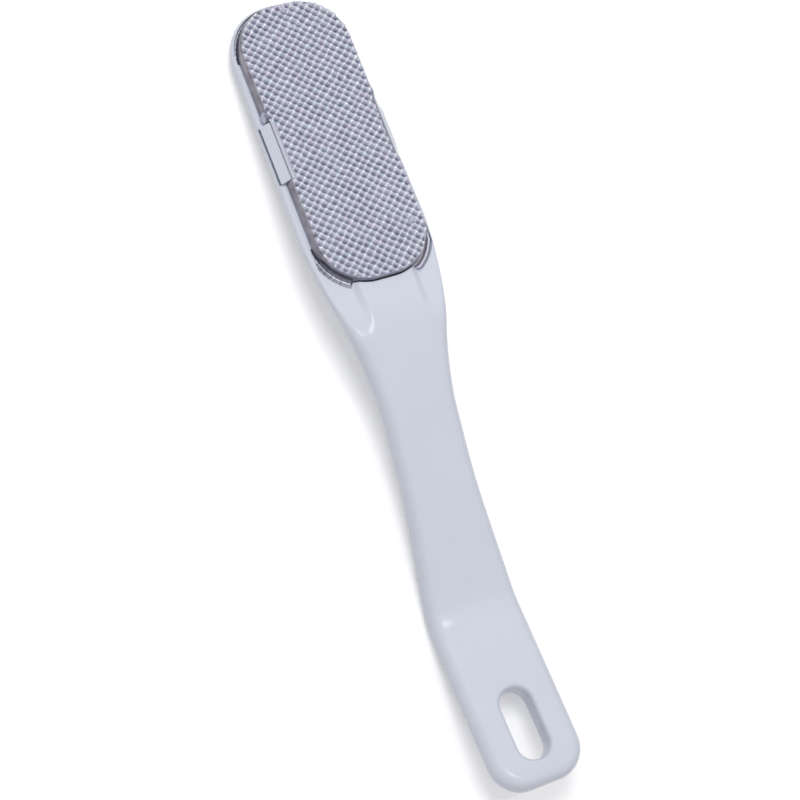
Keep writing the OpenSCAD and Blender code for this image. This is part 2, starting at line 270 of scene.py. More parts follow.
def plan_grid(rows, columns, inset):
    """Plan points of the grid inside the outline."""
    half, along, out_x, out_y = rows.T
    across = np.linspace(-1, 1, columns)[None, :] * (half - out_x * inset)[:, None]
    return across, np.repeat((along - out_y * inset)[:, None], columns, 1)


# Form of the handle

def handle_point(x, s, up):
    """A point beside and above the handle's middle line."""
    x, s, up = np.broadcast_arrays(x, s, up)
    neck_turn = np.clip(s, 0, NECK_END_S) / NECK_R
    bend_turn = np.clip(s - BEND_START_S, 0, BEND_END_S - BEND_START_S) / BEND_R
    slope = np.clip(s - NECK_END_S, 0, SLOPE_L)
    grip = np.maximum(s - BEND_END_S, 0)
    run = (np.minimum(s, 0) + NECK_R * np.sin(neck_turn) + slope * math.cos(SLOPE_ANGLE)
           + BEND_R * (math.sin(SLOPE_ANGLE) - np.sin(SLOPE_ANGLE - bend_turn))
           + grip * math.cos(GRIP_ANGLE))
    drop = (NECK_R * (1 - np.cos(neck_turn)) + slope * math.sin(SLOPE_ANGLE)
            + BEND_R * (np.cos(SLOPE_ANGLE - bend_turn) - math.cos(SLOPE_ANGLE))
            - grip * math.sin(GRIP_ANGLE))
    angle = neck_turn - bend_turn
    return np.stack([x, NECK_Y - run - up * np.sin(angle), MID_Z - drop + up * np.cos(angle)], -1)


def half_width(s):
    """Half the handle's width: the flared head, the waist and the swelling grip."""
    straight_s = TIP_S + HEAD_CORNER_R
    head = HEAD_W + 2 * NECK_FLARE * np.clip(1 - np.minimum(s, 0) / straight_s, 0, 1)
    waist = mix(head, WAIST_W, ease((s + FLARE_L) / (WAIST_GAP - WAIST_LEAD + FLARE_L)))
    grip = mix(WAIST_W, GRIP_W, ease((s - WAIST_END_S) / (BEND_END_S + SWELL_RUN - WAIST_END_S)))
    return np.where(s < WAIST_END_S, waist, grip) / 2


def lower_at(s):
    """Depth of the back below the middle line."""
    return mix(MID_Z - BACK_Z, HANDLE_T / 2, ease(s / EDGE_BLEND_L))


def upper_radius(s):
    """Radius of the upper edge, which grows from the head's border to the handle."""
    return mix(BORDER_EDGE_R, UPPER_EDGE_R, ease(s / EDGE_BLEND_L))


def side_up(s):
    """Height of the top beside the tongue, above the middle line."""
    return mix(BORDER_Z - MID_Z, HANDLE_T / 2, ease(s / TONGUE_FADE_L))


def crown_at(s):
    """Height of the slight crown across the top."""
    return CROWN_H * ease(s / EDGE_BLEND_L) * ease((END_S - s) / END_CORNER_R)


def edge_tilt(x, s):
    """Sideways tilt of the crowned top where it meets the round edge."""
    flat = half_width(s) - upper_radius(s)
    return np.arctan(CROWN_ORDER * crown_at(s) / flat * np.clip(np.abs(x) / flat, 0, 1) ** (CROWN_ORDER - 1))


def top_up(x, s, top_x):
    """Height of the top above the middle line, with the tongue that rises to the pan."""
    tongue = np.where(s < -TONGUE_REACH, BORDER_Z - MID_Z, HANDLE_T / 2)
    foot = np.minimum(TONGUE_W / 2 + RIDGE_RUN / 2, top_x * RIDGE_FOOT_SHARE)
    crest = np.minimum(TONGUE_W / 2 - RIDGE_RUN / 2, top_x * RIDGE_CREST_SHARE)
    rise = ease((foot - np.abs(x)) / (foot - crest))
    full = half_width(s) - upper_radius(s) * (1 - np.sin(edge_tilt(np.inf, s)))
    crown = crown_at(s) * (1 - np.clip(np.abs(x) / full, 0, 1) ** CROWN_ORDER)
    bend_s = (BEND_START_S + BEND_END_S) / 2
    fill = BEND_FILL_H * ease(1 - np.abs(s - bend_s) / BEND_FILL_L)
    return mix(side_up(s), tongue, rise) + fill + crown


def handle_rows():
    """Rows of the handle's outline, from the tip to the end of the grip, as in plan_rows()."""
    turns = np.linspace(0, math.pi / 2, CORNER_STEPS + 1)
    out_x, out_s = np.sin(turns), np.cos(turns)
    tip = np.column_stack([HEAD_W / 2 - HEAD_CORNER_R * (1 - out_x),
                           TIP_S + HEAD_CORNER_R * (1 - out_s), out_x, -out_s])
    end = np.column_stack([GRIP_W / 2 - END_CORNER_R * (1 - out_x),
                           END_S - END_CORNER_R * (1 - out_s), out_x, out_s])[::-1]
    head = np.arange(tip[-1, 1] + ALONG_STEP, -TONGUE_REACH, ALONG_STEP)
    neck = np.arange(-TONGUE_REACH, TONGUE_FADE_L, NECK_STEP)
    rest = np.arange(TONGUE_FADE_L, end[0, 1] - ALONG_STEP / 2, ALONG_STEP)
    s = np.concatenate([head, neck, rest])
    slope = (half_width(s + ALONG_STEP) - half_width(s - ALONG_STEP)) / (2 * ALONG_STEP)
    length = np.hypot(1, slope)
    side = np.column_stack([half_width(s), s, 1 / length, -slope / length])
    return np.concatenate([tip, side, end])


def handle_form():
    """The moulding before the pocket and the slot are cut."""
    rows = handle_rows()
    half, s, out_x, out_s = rows.T
    columns = 2 * round(HEAD_W / 2 / ACROSS_STEP) + 1
    share = np.linspace(-1, 1, columns)[None, :]
    points, outward = plan_loop(rows, columns)
    loop = loop_of(len(rows), columns)

    tilt = edge_tilt(half, s) * out_x
    inset = upper_radius(s) * (1 - np.sin(tilt))
    top_x = half - out_x * inset
    across = share * top_x[:, None]
    up = top_up(across, s[:, None], top_x[:, None])
    top = handle_point(across, (s - out_s * inset)[:, None], up)
    low_x = (half - out_x * LOWER_EDGE_R)[:, None]
    bottom = handle_point(share * low_x, (s - out_s * LOWER_EDGE_R)[:, None], -lower_at(s)[:, None])

    def ring(inward, height):
        place = points - outward * np.reshape(inward, (-1, 1))
        return handle_point(place[:, 0], place[:, 1], height)

    loop_s, first, edge_up = s[loop[:, 0]], tilt[loop[:, 0]], up[loop[:, 0], loop[:, 1]]
    upper, low = upper_radius(loop_s), lower_at(loop_s)
    rings = []
    for share_down in np.linspace(0, 1, ARC_STEPS + 1)[1:]:
        turn = mix(first, math.pi / 2, share_down)
        rings.append(ring(upper * (1 - np.sin(turn)), edge_up - upper * (np.cos(first) - np.cos(turn))))
    rings += [ring(inward, rise - low) for rise, inward in quarter_round(LOWER_EDGE_R, ARC_STEPS)[:-1]]
    return closed_skin(top, rings, bottom)


# Pocket for the pan and hanging slot

OVERRUN = 1.0
POCKET_EDGE_R = 0.15
POCKET_EDGE_STEPS = 4
POCKET_CORNER_STEPS = 120
POCKET_COLUMNS = 9
POCKET_TURN = math.atan(FIT_GAP / FOOT_R)
WALL_SINK = 0.1
END_GAP = 0.06
CURL_GAP = 0.2
EDGE_SINK = 0.03
SLOT_COLUMNS = 5
SLOT_ROUND_SHARE = 0.97
LEAST_COSINE = 0.1
LEAST_TURN = 1e-4


def curled_corner(outward):
    """The corner on the right of the neck, whose flange curls up."""
    return (outward[:, 0] > 0) & (outward[:, 1] < 0)


def corner_turn(outward):
    """Angle of the outward direction from the nearest side, from 0 to a quarter turn."""
    return np.arctan2(np.abs(outward[:, 1]), np.abs(outward[:, 0]))


def flange_reach(outward, turn_room):
    """Width of the corner flange at each point of the pan's outline, zero where it has none."""
    tip, curled, turn = outward[:, 1] > 0, curled_corner(outward), corner_turn(outward)
    width = np.where(tip, TIP_FLANGE_W, np.where(curled, CURL_W, FLANGE_W))
    start = np.where(curled, CURL_START_W, FLANGE_START_W)
    last = np.where(tip, TIP_FLANGE_TURN, NECK_FLANGE_TURN) + turn_room
    straight = (FOOT_R + start) / np.maximum(np.cos(turn), LEAST_COSINE) - FOOT_R
    return np.where((turn > LEAST_TURN) & (turn <= last), np.minimum(width, straight), 0)


def pocket_cutter():
    """The space for the pan, with room for its flanges and a soft edge at the surface."""
    rows = plan_rows(FOOT_W - 2 * WALL_SINK, FOOT_L + 2 * END_GAP, FOOT_R - WALL_SINK,
                     ALONG_STEP, POCKET_CORNER_STEPS)
    points, outward = plan_loop(rows, POCKET_COLUMNS)
    across, along = plan_grid(rows, POCKET_COLUMNS, 0)
    reach = flange_reach(outward, POCKET_TURN)
    reach = reach + np.where((reach > 0) & curled_corner(outward), CURL_GAP, 0)

    def ring(offset, z):
        place = points + outward * (reach + offset)[:, None]
        return np.column_stack([place, np.broadcast_to(z, len(points))])

    edge_x, edge_y = (points + outward * (reach + POCKET_EDGE_R)[:, None]).T
    edge_s = NECK_Y - edge_y
    surface = MID_Z + top_up(edge_x, edge_s, half_width(edge_s) - BORDER_EDGE_R) + EDGE_SINK
    high = PAN_H + OVERRUN
    rings = [ring(POCKET_EDGE_R, high)]
    rings += [ring(out, surface - down) for out, down in quarter_round(POCKET_EDGE_R, POCKET_EDGE_STEPS)]
    rings += [ring(0, DECK_Z)]
    top, bottom = [np.stack([across, along, np.full_like(across, z)], -1) for z in (high, DECK_Z)]
    return closed_skin(top, rings, bottom)


def slot_cutter():
    """The hanging slot, with round edges that follow the grip's faces."""
    rows = plan_rows(SLOT_W, SLOT_L, SLOT_W / 2 * SLOT_ROUND_SHARE, ALONG_STEP, CORNER_STEPS)
    points, outward = plan_loop(rows, SLOT_COLUMNS)
    across, along = plan_grid(rows, SLOT_COLUMNS, 0)

    def ring(offset, up):
        place = points + outward * offset
        return handle_point(place[:, 0], SLOT_S - place[:, 1], up)

    rim_x = points[:, 0] + outward[:, 0] * SLOT_EDGE_R
    front = top_up(rim_x, SLOT_S, GRIP_W / 2 - UPPER_EDGE_R) + EDGE_SINK
    back = -HANDLE_T / 2 - EDGE_SINK
    flares = quarter_round(SLOT_EDGE_R, ARC_STEPS)
    rings = [ring(SLOT_EDGE_R, HANDLE_T)]
    rings += [ring(out, front - down) for out, down in flares]
    rings += [ring(out, back + down) for out, down in flares[::-1]]
    rings += [ring(SLOT_EDGE_R, -HANDLE_T)]
    top, bottom = [handle_point(across, SLOT_S - along, up) for up in (HANDLE_T, -HANDLE_T)]
    return closed_skin(top, rings, bottom)


# Ribs of the deck and catches beside the pan

RIB_T = 1.2
RIB_GAP = 1.2
CROSS_RIBS = 7
LONG_RIB_X = 6.0
CATCH_OVERHANG = 0.15
CATCH_OUTER_X = HEAD_W / 2 + CATCH_OVERHANG
CATCH_STEM_INSET = 1.3
CATCH_STEM_X = HEAD_W / 2 - CATCH_STEM_INSET
CATCH_TOP_Z = -0.65
CATCH_TOP_W = 0.4
CATCH_TOE_RISE = 0.85
CATCH_TOE_Z = BORDER_Z + CATCH_TOE_RISE
CATCH_TOE_H = 0.4
CATCH_SOFT = 0.15
CATCH_ROWS = 25
RIGHT_TAPER = 0.6
RIGHT_TAPER_L = 5.0
LEDGE_X = HEAD_W / 2 + 2 * NECK_FLARE
LEDGE_DROP = 1.2
LEDGE_Z = BORDER_Z - LEDGE_DROP
TRENCH_REACH = 0.05
TRENCH_X = HEAD_W / 2 + TRENCH_REACH
TRENCH_DROP = 2.9
TRENCH_Z = BORDER_Z - TRENCH_DROP


def block(x_low, x_high, y_low, y_high, z_low, z_high):
    """A box, as the smallest closed skin."""
    plan = np.array([[[x_low, y_high], [x_high, y_high]], [[x_low, y_low], [x_high, y_low]]])
    top, bottom = [np.concatenate([plan, np.full((2, 2, 1), z)], -1) for z in (z_high, z_low)]
    return closed_skin(top, [], bottom)


def rib_blocks():
    """Ribs across and along the deck that carry the sheet."""
    half_w = PAN_W / 2 - SHEET_T - RIB_GAP
    half_l = PAN_L / 2 - SHEET_T - RIB_GAP
    radius = PAN_CORNER_R - SHEET_T - RIB_GAP
    low, high = DECK_Z - FLOOR_T / 2, -SHEET_T

    def inside(across, half, other_half):
        """How far a rib may reach inside the round corners of the sheet."""
        past = max(abs(across) + RIB_T / 2 - (half - radius), 0)
        return other_half - radius + math.sqrt(max(radius ** 2 - past ** 2, 0))

    blocks = []
    for y in np.linspace(-half_l, half_l, CROSS_RIBS + 2)[1:-1]:
        reach = inside(y, half_l, half_w)
        blocks.append(block(-reach, reach, y - RIB_T / 2, y + RIB_T / 2, low, high))
    for x in (-LONG_RIB_X, LONG_RIB_X):
        reach = inside(x, half_w, half_l)
        blocks.append(block(x - RIB_T / 2, x + RIB_T / 2, -reach, reach, low, high))
    return blocks


def side_cuts(side):
    """The stretch of the border that is cut down below the catch, and the trench behind its rim."""
    cuts = []
    for outer_x, floor_z in ((LEDGE_X, LEDGE_Z), (TRENCH_X, TRENCH_Z)):
        low_x, high_x = sorted((side * NOTCH_X, side * outer_x))
        cuts.append(block(low_x, high_x, -CATCH_L / 2, CATCH_L / 2, floor_z, OVERRUN))
    return cuts


def side_catch(side):
    """Wedge that stands in the notch of one side wall and hangs over the border.

    Each level has its inner and outer side, its height and how far its ends are drawn in.
    The outer side of the catch on the right is drawn in towards its ends.
    """
    inner, outer, soft = NOTCH_X, CATCH_OUTER_X, CATCH_SOFT
    taper = RIGHT_TAPER if side > 0 else 0
    levels = [(inner + soft, inner + CATCH_TOP_W, CATCH_TOP_Z, soft),
              (inner, inner + CATCH_TOP_W + soft, CATCH_TOP_Z - soft, 0),
              (inner, outer - soft, CATCH_TOE_Z + soft, 0),
              (inner, outer, CATCH_TOE_Z, 0),
              (inner, outer, CATCH_TOE_Z - soft, 0),
              (inner, CATCH_STEM_X, CATCH_TOE_Z - CATCH_TOE_H, 0),
              (inner, CATCH_STEM_X, DECK_Z - FLOOR_T / 2, 0)]

    def grid(low_x, high_x, z, inset):
        y = np.linspace(1, -1, CATCH_ROWS) * (CATCH_L / 2 - inset)
        near_end = ease(1 - (CATCH_L / 2 - np.abs(y)) / RIGHT_TAPER_L)
        outer_x = np.maximum(high_x - taper * near_end * (high_x > CATCH_STEM_X), low_x)
        x = np.sort(np.stack([np.full(CATCH_ROWS, side * low_x), side * outer_x], 1), 1)
        return np.stack([x, np.stack([y, y], 1), np.full((CATCH_ROWS, 2), z)], -1)

    top, *middle, bottom = [grid(*level) for level in levels]
    loop = loop_of(CATCH_ROWS, 2)
    return closed_skin(top, [level[loop[:, 0], loop[:, 1]] for level in middle], bottom)


# Cutting and joining the handle

HANDLE_SHARP = math.radians(35)


def combine(piece, other, operation):
    """Applies one Boolean to a piece and removes the other object."""
    modifier = piece.modifiers.new(operation, "BOOLEAN")
    modifier.operation = operation
    modifier.solver = "MANIFOLD"
    modifier.object = other
    bpy.context.view_layer.update()
    result = bpy.data.meshes.new_from_object(piece.evaluated_get(bpy.context.evaluated_depsgraph_get()))
    piece.modifiers.clear()
    piece.data = result
    bpy.data.objects.remove(other)


def build_handle():
    """The whole moulding: the form with its pocket, slot, ribs and catches."""
    piece = mesh_object("handle_moulding", *handle_form())
    for cutter in [pocket_cutter(), slot_cutter()] + side_cuts(-1) + side_cuts(1):
        combine(piece, mesh_object("cutter", *cutter), "DIFFERENCE")
    for solid in rib_blocks() + [side_catch(-1), side_catch(1)]:
        combine(piece, mesh_object("rib", *solid), "UNION")
    smooth(piece, HANDLE_SHARP)
    return piece


# Teeth of the rasp pan: tone is the brightness of the steel, up to 1 at the tips; it paints shade into the
# pits and highlights onto the tips

TOOTH_PITCH_X = 3.0
TOOTH_PITCH_Y = 2.75
TOOTH_PHASES = (math.radians(73.1), math.radians(-61.1))
TOOTH_H = 0.85
TOOTH_POINT = 1.3
TOOTH_SPREAD = 0.3
TOOTH_SHIFT = 0.5
TOOTH_OVERHANG = 0.62
LATTICE_SHARE = 0.1
PIT_DEPTH = 0.35
PIT_POINT = 3.0
PIT_SPREAD = 0.6
# Painted shade: the pits are painted darker than the lowest tone of the teeth
PIT_SHADE_TONE = -0.1
NOISE_PITCH = 2.3
NOISE_CELLS = 64
FIELD_FADE = 0.28
LEFT_STRIP = 0.75
RIGHT_STRIP = 0.35
LEFT_STRIP_TONE = 0.55
RIGHT_STRIP_TONE = 0.1
SPOT_TONE = 0.35

# Place across, place along and radius of each spot where the teeth are worn away
PLAIN_SPOTS = ((-0.5, 42.7, 0.9), (13.4, -31.1, 1.0))


def soft_noise(x, y, layer):
    """Smooth irregularity from 0 to 1 over the face, the same on each run."""
    table = np.random.default_rng(SEED + layer).random((NOISE_CELLS, NOISE_CELLS))
    u, v = x / NOISE_PITCH + NOISE_CELLS / 2, y / NOISE_PITCH + NOISE_CELLS / 2
    i, j = np.floor(u).astype(int), np.floor(v).astype(int)
    across, along = ease(u - i), ease(v - j)
    near = mix(table[i, j], table[i + 1, j], across)
    far = mix(table[i, j + 1], table[i + 1, j + 1], across)
    return mix(near, far, along)


def tooth_level(x, y):
    """Level from 0 in the pits to 1 at the tips, where two crossed rows of ridges meet."""
    moved_x = x + TOOTH_SHIFT * (soft_noise(x, y, 0) - 0.5)
    moved_y = y + TOOTH_SHIFT * (soft_noise(x, y, 1) - 0.5)
    first = math.tau * (moved_x / TOOTH_PITCH_X + moved_y / TOOTH_PITCH_Y) + TOOTH_PHASES[0]
    second = math.tau * (moved_x / TOOTH_PITCH_X - moved_y / TOOTH_PITCH_Y) + TOOTH_PHASES[1]
    rows, columns = (1 + np.cos(first)) / 2, (1 + np.cos(second)) / 2
    lattice = 1 - (1 - rows) * (1 - columns)
    return mix((rows + columns) / 2, lattice, LATTICE_SHARE)


def field_share(x, y):
    """1 on the field of teeth and 0 past its edge, which lies on the bend."""
    past_x = np.maximum(np.abs(x) - (PAN_W / 2 - PAN_CORNER_R), 0)
    past_y = np.maximum(np.abs(y) - (PAN_L / 2 - PAN_CORNER_R), 0)
    radius = PAN_CORNER_R - PAN_EDGE_R + TOOTH_OVERHANG
    return ease((radius - np.hypot(past_x, past_y)) / FIELD_FADE)


def off_strip_share(x, y):
    """0 on the smooth strips beside the notches and 1 elsewhere."""
    strip_x = NOTCH_X - np.where(x > 0, RIGHT_STRIP, LEFT_STRIP)
    return ease(np.maximum(np.abs(y) - NOTCH_L / 2, strip_x - np.abs(x)) / FIELD_FADE)


def off_spot_share(x, y):
    """0 on the plain spots and 1 elsewhere."""
    share = 1.0
    for spot_x, spot_y, spot_r in PLAIN_SPOTS:
        share = share * ease((np.hypot(x - spot_x, y - spot_y) - spot_r / 2) / spot_r)
    return share


def strip_tone(x):
    """Brightness of the smooth strip beside a notch, which is in shade on the right."""
    return np.where(x > 0, RIGHT_STRIP_TONE, LEFT_STRIP_TONE)


def tooth_relief(x, y):
    """Height and brightness of the face: teeth with pits between them, strips and spots."""
    level = tooth_level(x, y)
    size = 1 - TOOTH_SPREAD * soft_noise(x, y, 2)
    depth = 1 - PIT_SPREAD * soft_noise(x, y, 3)
    teeth = TOOTH_H * size * level ** TOOTH_POINT - PIT_DEPTH * depth * (1 - level) ** PIT_POINT
    off_strip, off_spot = off_strip_share(x, y), off_spot_share(x, y)
    relief = teeth * field_share(x, y) * off_strip * off_spot
    # The tone follows the height of the face: painted shade in the pits and painted highlights on the tips;
    # the strips and the worn spots are given fixed tones
    tone = mix(PIT_SHADE_TONE, 1.0, (relief + PIT_DEPTH) / (TOOTH_H + PIT_DEPTH))
    tone = tone * off_strip * off_spot + strip_tone(x) * (1 - off_strip) + SPOT_TONE * (1 - off_spot)
    return relief, tone


# Walls and flanges of the rasp pan: q is the share of the way from the face to the foot

BEND_RINGS = 6
WALL_RINGS = 9
FLANGE_RINGS = 9
INNER_RINGS = 7
BEND_ARC_L = PAN_EDGE_R * math.pi / 2
WALL_SLANT_L = math.hypot(PAN_H - PAN_EDGE_R, WALL_LEAN)
WALL_PATH_L = BEND_ARC_L + WALL_SLANT_L
BEND_SHARE = BEND_ARC_L / WALL_PATH_L
SIDE_LIMIT = 0.99
NOTCH_LIP_SHARE = 0.03
LOBE_R = 1.5
PAN_SHARP = math.radians(60)

# Where the wall's painted shade and streaks begin, along the sides and at the neck's end
WALL_FROM_SHARE = 0.03
END_WALL_SHARE = 0.13
WALL_FADE_SHARE = 0.1

# Lens-shaped lobe pressed into the wall above each notch, with painted shade on its rim and inside it
LENS_L = 3.8
LENS_SHARE = 0.5
LENS_H = 0.5
LENS_REACH = 1.2
LENS_OUTSIDE = 2.0
LENS_RIM_SHARE = 0.22
LENS_SHADE_TONE = 0.2

# Flanges, which are wrinkled, and the curled one, which rises to a hump and falls again; their tones hold
# painted light
FLANGE_FILLET = 0.45
FLANGE_WALL_SHARE = 0.2
LIP_W = 0.03
WRINKLE_H = 0.1
WRINKLE_PITCH = 1.7
WRINKLE_TRIM = 0.15
LONG_WAVE = 0.3
SHORT_WAVE = 0.2
SHORT_WAVE_RATIO = 1.6
SHORT_WAVE_PHASE = 1.0
LUMP_HIGHLIGHT_TONE = 0.95
LUMP_LOW_SHARE = 0.3
FRINGE_SHADE_TONE = 0.15
FRINGE_FROM_SHARE = 0.45
FRINGE_FADE_SHARE = 0.3
CURL_H = 0.6
CURL_ORDER = 1.8
CURL_HIGHLIGHT_TONE = 0.85
CURL_TIP_SHARE = 0.3
CURL_FROM_SHARE = 0.4
CURL_FADE_SHARE = 0.15


def wall_path(q):
    """Offset and height of the sheet and its outward normal, over the bend and down the wall."""
    wall_h = PAN_H - PAN_EDGE_R
    run = q * WALL_PATH_L
    turn = np.clip(run, 0, BEND_ARC_L) / PAN_EDGE_R
    down = np.clip(run - BEND_ARC_L, 0, WALL_SLANT_L) / WALL_SLANT_L
    offset = PAN_EDGE_R * (np.sin(turn) - 1) + WALL_LEAN * down
    z = PAN_EDGE_R * (np.cos(turn) - 1) - wall_h * down
    normal_out = np.where(down > 0, wall_h / WALL_SLANT_L, np.sin(turn))
    normal_up = np.where(down > 0, WALL_LEAN / WALL_SLANT_L, np.cos(turn))
    return offset, z, normal_out, normal_up


def notch_parts(points, outward):
    """Distance past the notch's end, and which points are on the side walls and in the notches."""
    past_notch = np.abs(points[:, 1]) - NOTCH_L / 2
    at_side = np.abs(outward[:, 0]) > SIDE_LIMIT
    return past_notch, at_side, at_side & (past_notch < 0)


def wall_reach(points, outward, flange):
    """How far down its path the wall goes: round ends at the notches, a fillet above the flanges."""
    past_notch, at_side, in_notch = notch_parts(points, outward)
    corner_cut = LOBE_R - np.sqrt(LOBE_R ** 2 - np.clip(LOBE_R - past_notch, 0, LOBE_R) ** 2)
    reach = 1 - np.where(at_side, corner_cut, 0) / WALL_PATH_L
    reach = np.where(flange > 0, 1 - (SHEET_T + FLANGE_FILLET) / WALL_PATH_L, reach)
    return np.where(in_notch, NOTCH_LIP_SHARE, reach)


def wall_rings(points, outward, reach):
    """Offset, height, brightness and wall share of each ring over the bend and down the wall."""
    past_notch, at_side, in_notch = notch_parts(points, outward)
    lens_side = at_side & (points[:, 1] > 0) & ~in_notch
    wall_from = mix(WALL_FROM_SHARE, END_WALL_SHARE, ease(-outward[:, 1]))
    bend_shares = np.linspace(0, BEND_SHARE, BEND_RINGS + 1)[1:]
    wall_shares = np.linspace(BEND_SHARE, 1, WALL_RINGS + 1)[1:]
    for share in np.concatenate([bend_shares, wall_shares]):
        q = share * reach
        offset, z, normal_out, normal_up = wall_path(q)
        place = points + outward * offset[:, None]
        teeth, tone = tooth_relief(place[:, 0], place[:, 1])
        lens = np.hypot(2 * past_notch / LENS_L - 1, q / LENS_SHARE - 1)
        lens = np.where(lens_side, lens, LENS_OUTSIDE)
        rim = ease(np.abs(lens - 1) / LENS_RIM_SHARE)
        inside = ease((1 - lens) / LENS_RIM_SHARE)
        wall = ease((q - wall_from) / WALL_FADE_SHARE)
        # Painted shade: on the wall the tone runs from dark at the top to light at the foot, and the lens is
        # darkened along its rim and inside
        tone = mix(mix(tone, q, wall) * rim, LENS_SHADE_TONE, inside)
        tone = np.where(in_notch, strip_tone(points[:, 0]), tone)
        wall = np.where(in_notch, 0, wall * (1 - inside))
        push = teeth + LENS_H * ease(LENS_REACH - lens)
        yield offset + normal_out * push, z + normal_up * push, tone, wall


def wrinkles(outward):
    """Waves along the corner flanges, from 0 to 1."""
    around = math.tau * FOOT_R * np.arctan2(outward[:, 1], outward[:, 0]) / WRINKLE_PITCH
    short = SHORT_WAVE * np.sin(SHORT_WAVE_RATIO * around + SHORT_WAVE_PHASE)
    return 0.5 + LONG_WAVE * np.sin(around) + short


def flange_rings(outward, flange, reach):
    """Offset, height, brightness and wall share of each ring over the flanges and round their edge."""
    foot_offset, foot_z, _, _ = wall_path(reach)
    wave, curled, there = wrinkles(outward), curled_corner(outward), flange > 0
    to_end = np.clip((NECK_FLANGE_TURN - corner_turn(outward)) * FOOT_R / CURL_W, 0, 1)
    round_end = mix(CURL_TIP_SHARE, 1.0, np.sqrt(1 - (1 - to_end) ** 2))
    taper = np.where(curled, round_end, 1 - WRINKLE_TRIM * wave)
    width = np.where(there, flange * taper, LIP_W)
    fillet = np.where(there, FLANGE_FILLET, LIP_W)
    for share in np.linspace(0, 1, FLANGE_RINGS + 1)[1:]:
        down = fillet * np.sqrt(np.maximum(1 - (1 - np.clip(width * share / fillet, 0, 1)) ** 2, 0))
        hump = CURL_H * math.sin(math.pi * share ** CURL_ORDER) ** 2
        ripple = WRINKLE_H * wave * math.sin(math.pi * share) ** 2
        lift = np.where(there, np.where(curled, hump, ripple), 0)
        # Painted light on the flanges: the lumps are painted bright as highlights where the wrinkles rise,
        # the fringe at the outer edge is painted shade, the wrinkled flanges take a little of the wall's
        # painted shade, and the curled flange takes the wall's painted shade next to the wall and a painted
        # highlight further out
        outer = ease((share - CURL_FROM_SHARE) / CURL_FADE_SHARE)
        fringe = ease((share - FRINGE_FROM_SHARE) / FRINGE_FADE_SHARE)
        lump = LUMP_HIGHLIGHT_TONE * mix(LUMP_LOW_SHARE, 1.0, wave)
        tone = np.where(curled, mix(1.0, CURL_HIGHLIGHT_TONE, outer), mix(lump, FRINGE_SHADE_TONE, fringe))
        wall = np.where(curled, 1 - outer, FLANGE_WALL_SHARE)
        yield (foot_offset + width * share, foot_z + (lift - down),
               np.where(there, tone, 0), np.where(there, wall, 1))
    yield foot_offset + width, foot_z + (-fillet - np.where(there, SHEET_T, 0)), 0, 1


def inner_rings(flange, reach):
    """Offset, height, brightness and wall share of each ring up the inside of the sheet."""
    for share in np.linspace(1, 0, INNER_RINGS):
        offset, z, normal_out, normal_up = wall_path(share * np.where(flange > 0, 1.0, reach))
        yield offset - normal_out * SHEET_T, z - normal_up * SHEET_T, 0, 1


def build_pan():
    """The sheet, with the attributes tone and wall that its material reads."""
    rows = plan_rows(PAN_W, PAN_L, PAN_CORNER_R, FACE_STEP, round(PAN_CORNER_R * math.pi / 2 / FACE_STEP))
    columns = 2 * round(NOTCH_X / FACE_STEP) + 1
    points, outward = plan_loop(rows, columns)
    across, along = plan_grid(rows, columns, PAN_EDGE_R)
    relief, face_tone = tooth_relief(across, along)
    flange = flange_reach(outward, 0)
    reach = wall_reach(points, outward, flange)

    rings, tones, walls = [], [face_tone.ravel()], [np.zeros(relief.size)]
    for offset, z, tone, wall in [*wall_rings(points, outward, reach),
                                  *flange_rings(outward, flange, reach), *inner_rings(flange, reach)]:
        rings.append(np.column_stack([points + outward * offset[:, None], z]))
        tones.append(np.broadcast_to(tone, len(points)))
        walls.append(np.broadcast_to(wall, len(points)))

    skin, faces = closed_skin(np.stack([across, along, relief], -1), rings, None)
    piece = mesh_object("rasp_pan_sheet", skin, faces)
    smooth(piece, PAN_SHARP)
    for name, parts in (("tone", tones), ("wall", walls)):
        values = piece.data.attributes.new(name, "FLOAT", "POINT")
        values.data.foreach_set("value", np.concatenate(parts).astype(np.float32))
    return piece


# Node helpers

def feed(node, sources):
    """Links or sets the inputs of a node, by name or number."""
    for socket, source in sources.items():
        if isinstance(source, bpy.types.NodeSocket):
            node.id_data.links.new(source, node.inputs[socket])
        else:
            node.inputs[socket].default_value = source


def node_maker(tree):
    """A function that adds a node to a tree, with its settings and its inputs."""

    def add(kind, sources=None, **settings):
        node = tree.nodes.new(kind)
        for key, value in settings.items():
            setattr(node, key, value)
        feed(node, sources or {})
        return node

    return add


def material(name):
    """A new node material, its shader and its node maker."""
    made = bpy.data.materials.new(name)
    made.use_nodes = True
    return made, made.node_tree.nodes["Principled BSDF"], node_maker(made.node_tree)


def maths(add, operation, *inputs):
    """The result of one sum on values or sockets."""
    return add("ShaderNodeMath", dict(enumerate(inputs)), operation=operation).outputs[0]


def noise(add, place, scale, detail):
    """Smooth noise from 0 to 1, with scale in waves per metre."""
    return add("ShaderNodeTexNoise", {"Vector": place, "Scale": scale, "Detail": detail}).outputs["Fac"]


def between(add, value, low, high):
    """Turns a value from 0 to 1 into one from low to high."""
    return add("ShaderNodeMapRange", {"Value": value, "To Min": low, "To Max": high}).outputs["Result"]


def ramp(add, value, stops):
    """A colour ramp through pairs of place and colour."""
    node = add("ShaderNodeValToRGB", {"Fac": value})
    points = node.color_ramp.elements
    while len(points) < len(stops):
        points.new(0.5)
    for point, (place, colour) in zip(points, stops):
        point.position = place
        point.color = (*colour, 1)
    return node.outputs["Color"]


# Plastic, with the faint ring of a mould pin above the slot

